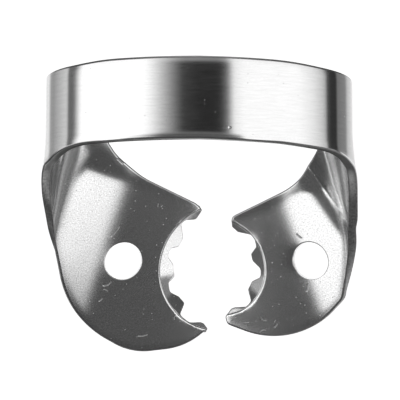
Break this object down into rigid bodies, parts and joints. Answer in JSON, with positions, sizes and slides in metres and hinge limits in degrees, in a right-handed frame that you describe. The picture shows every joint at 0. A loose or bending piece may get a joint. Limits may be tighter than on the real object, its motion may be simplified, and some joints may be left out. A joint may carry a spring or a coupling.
{
  "type": "rubber dam clamp",
  "caption": "One-piece spring steel clamp whose toothed, turned-down jaws grip the neck of a tooth to hold a rubber dam; a raised bow joins two plates with forceps holes.",
  "frame": {"origin": "the middle of the gripped tooth, level with the lowest teeth of the jaws", "axes": "+X across from one jaw to the other, +Y from the jaws towards the bow, +Z away from the gum, up through the bow"},
  "size_m": [0.0255, 0.0232, 0.0151],
  "materials": {
    "steel": "bright polished, with a fine grain"
  },
  "bodies": {
    "root": {"clamp": "steel"}
  },
  "joints": []
}
